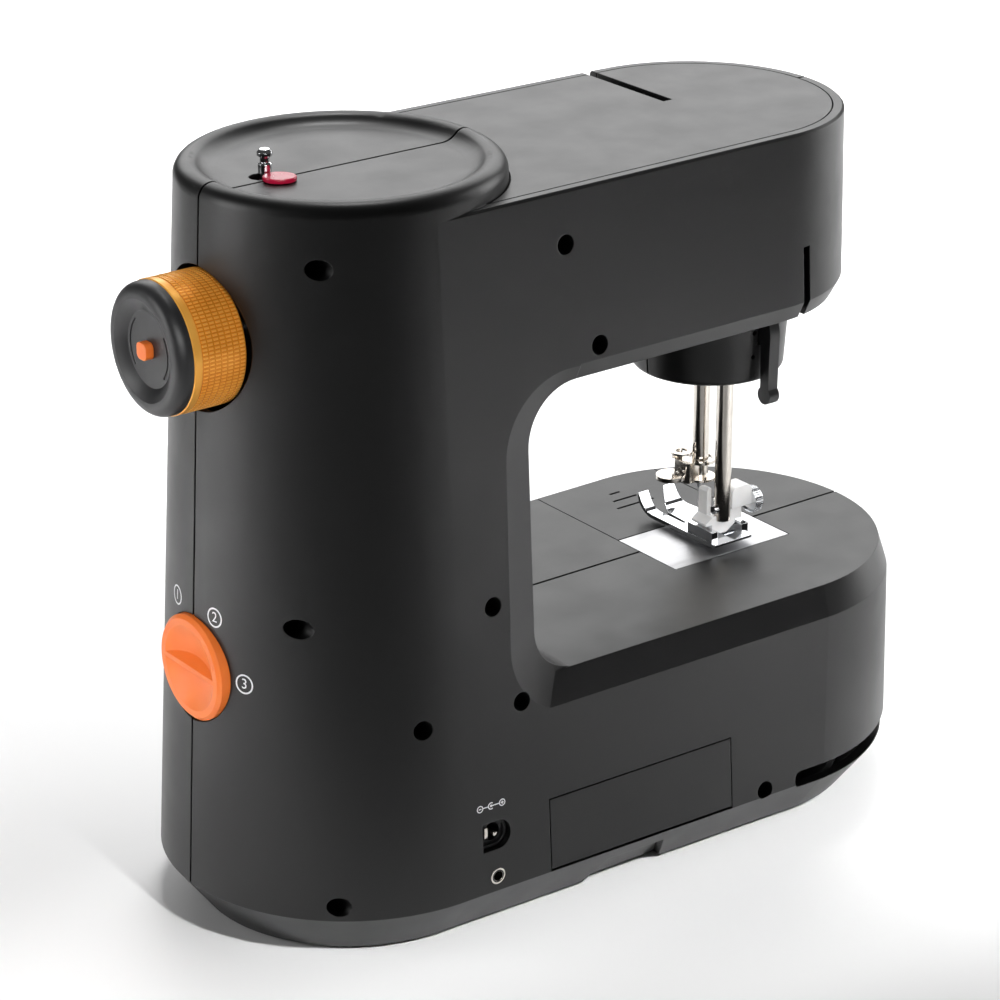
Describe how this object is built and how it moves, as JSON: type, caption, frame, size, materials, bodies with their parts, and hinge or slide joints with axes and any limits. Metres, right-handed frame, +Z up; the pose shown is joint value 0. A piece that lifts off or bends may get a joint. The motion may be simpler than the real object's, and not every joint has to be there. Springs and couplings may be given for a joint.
{
  "type": "compact sewing machine",
  "caption": "Small electric sewing machine with a round pillar, a bed and an arm, a hand wheel, stitch dial, presser foot and inner drive.",
  "frame": {"origin": "middle of the footprint on the table", "axes": "+X from the needle end towards the hand wheel, +Z up, the sewer sits on the -Y side"},
  "size_m": [0.2976, 0.1386, 0.2633],
  "materials": {
    "body_black": "matte, finely textured moulding",
    "gloss_black": "satin moulding",
    "orange_metal": "anodised, knurled",
    "orange_plastic": "satin moulding",
    "crimson_plastic": "glossy moulding",
    "chrome": "polished plate",
    "steel": "bright steel",
    "nickel": "nickel plate",
    "white_plastic": "slightly translucent moulding",
    "nylon": "natural nylon",
    "brass": "plain turned",
    "rubber": "soft",
    "zinc": "die cast",
    "board": "solder mask",
    "clear": "clear moulding"
  },
  "bodies": {
    "machine": {"back_shell": "body_black", "front_shell": "body_black", "arm_cover": "body_black", "base_plate": "body_black", "rubber_feet": "rubber", "needle_plate": "steel", "battery_box": "body_black", "dc_socket": "gloss_black", "pedal_socket": "nickel", "circuit_board": "board", "casing_screws": "steel", "chassis": "zinc", "shaft_bushes": "brass", "head_frame": "zinc", "lever_pin": "steel", "take_up_pin": "steel", "bed_frame": "zinc", "motor": "steel", "timing_belt": "rubber", "bobbin_case": "gloss_black", "lamp_lens": "clear", "presser_spring": "steel"},
    "hand_wheel": {"hand_wheel_ring": "orange_metal", "hand_wheel_cap": "gloss_black", "hand_wheel_peg": "orange_plastic", "main_shaft": "steel", "drive_gear": "nylon", "main_pulley": "nylon", "crank_disc": "zinc"},
    "motor_rotor": {"motor_pinion": "brass"},
    "lower_drive": {"lower_shaft": "steel", "lower_pulley": "nylon", "lower_bevel": "nylon"},
    "hook": {"hook": "steel", "hook_bevel": "nylon"},
    "bobbin": {"bobbin": "clear"},
    "needle_bar": {"needle_bar": "nickel", "needle": "steel", "needle_bracket": "zinc", "needle_clamp": "nickel", "clamp_screw": "nickel"},
    "needle_link": {"needle_link": "zinc"},
    "take_up": {"take_up_lever": "chrome"},
    "presser_bar": {"presser_bar": "nickel", "presser_collar": "zinc", "foot_ankle": "white_plastic", "ankle_screw": "chrome"},
    "presser_foot": {"presser_foot": "chrome"},
    "presser_lever": {"presser_lever": "gloss_black"},
    "selector": {"selector_dial": "orange_plastic"},
    "winder_carriage": {"winder_tab": "crimson_plastic"},
    "winder_spindle": {"winder_spindle": "chrome", "winder_tyre": "rubber"},
    "bobbin_cover": {"bobbin_cover": "body_black"},
    "battery_door": {"battery_door": "body_black"},
    "feed_carrier": {"feed_carrier": "zinc"},
    "feed_dog": {"feed_dog": "steel"},
    "tension_dial": {"tension_dial": "orange_plastic"},
    "start_button": {"start_button": "orange_plastic"}
  },
  "joints": [
    {"name": "main_turn", "type": "hinge", "parent": "machine", "child": "hand_wheel", "pos_m": [0.073, 0, 0.2083], "axis": [1, 0, 0], "continuous": true},
    {"name": "motor_turn", "type": "hinge", "parent": "machine", "child": "motor_rotor", "pos_m": [0.073, -0.02793, 0.2063], "axis": [1, 0, 0], "continuous": true},
    {"name": "lower_turn", "type": "hinge", "parent": "machine", "child": "lower_drive", "pos_m": [0.073, -0.0207, 0.034], "axis": [1, 0, 0], "continuous": true},
    {"name": "hook_turn", "type": "hinge", "parent": "machine", "child": "hook", "pos_m": [-0.0815, -0.0207, 0.034], "axis": [0, 0, 1], "continuous": true},
    {"name": "bobbin_turn", "type": "hinge", "parent": "machine", "child": "bobbin", "pos_m": [-0.0815, -0.0207, 0.074], "axis": [0, 0, 1], "continuous": true},
    {"name": "needle_bar_slide", "type": "slide", "parent": "machine", "child": "needle_bar", "axis": [0, 0, 1], "range_m": [-0.008, 0.016]},
    {"name": "needle_link_swing", "type": "hinge", "parent": "needle_bar", "child": "needle_link", "pos_m": [-0.0815, -0.0022, 0.17438], "axis": [1, 0, 0], "range_deg": [-44.95, 2.36]},
    {"name": "take_up_swing", "type": "hinge", "parent": "machine", "child": "take_up", "pos_m": [-0.066, -0.014, 0.214], "axis": [-1, 0, 0], "range_deg": [0, 70]},
    {"name": "presser_lever_swing", "type": "hinge", "parent": "machine", "child": "presser_lever", "pos_m": [-0.083, 0.02, 0.1717], "axis": [1, 0, 0], "range_deg": [0, 55]},
    {"name": "presser_lift", "type": "slide", "parent": "machine", "child": "presser_bar", "axis": [0, 0, 1], "range_m": [0, 0.006], "deforming": ["presser_spring"]},
    {"name": "foot_tilt", "type": "hinge", "parent": "presser_bar", "child": "presser_foot", "pos_m": [-0.0815, 0.0074, 0.0931], "axis": [-1, 0, 0], "range_deg": [-1, 8]},
    {"name": "selector_turn", "type": "hinge", "parent": "machine", "child": "selector", "pos_m": [0.073, 0, 0.0959], "axis": [1, 0, 0], "range_deg": [0, 120]},
    {"name": "winder_shift", "type": "slide", "parent": "machine", "child": "winder_carriage", "axis": [1, 0, 0], "range_m": [0, 0.0022]},
    {"name": "winder_turn", "type": "hinge", "parent": "winder_carriage", "child": "winder_spindle", "pos_m": [0.0985, -0.0047, 0.25], "axis": [0, 0, 1], "continuous": true},
    {"name": "bobbin_cover_slide", "type": "slide", "parent": "machine", "child": "bobbin_cover", "axis": [0, -1, 0], "range_m": [0, 0.05]},
    {"name": "battery_door_swing", "type": "hinge", "parent": "machine", "child": "battery_door", "pos_m": [-0.0006, 0.0668, 0.04405], "axis": [1, 0, 0], "range_deg": [0, 40]},
    {"name": "feed_stroke", "type": "slide", "parent": "machine", "child": "feed_carrier", "axis": [0, 1, 0], "range_m": [-0.0015, 0.0015]},
    {"name": "feed_lift", "type": "slide", "parent": "feed_carrier", "child": "feed_dog", "axis": [0, 0, 1], "range_m": [-0.0015, 0]},
    {"name": "tension_turn", "type": "hinge", "parent": "machine", "child": "tension_dial", "pos_m": [-0.022, -0.06, 0.222], "axis": [0, -1, 0], "range_deg": [-150, 150]},
    {"name": "start_press", "type": "slide", "parent": "machine", "child": "start_button", "axis": [0, 1, 0], "range_m": [0, 0.0015], "stiffness_N_per_m": 400}
  ],
  "couplings": [
    {"joint": "motor_turn", "follows": "main_turn", "ratio": -4.6},
    {"joint": "lower_turn", "follows": "main_turn", "ratio": 2},
    {"joint": "hook_turn", "follows": "main_turn", "ratio": -2},
    {"joint": "presser_lever_swing", "follows": "presser_lift", "rad_per_m": 159.99}
  ]
}
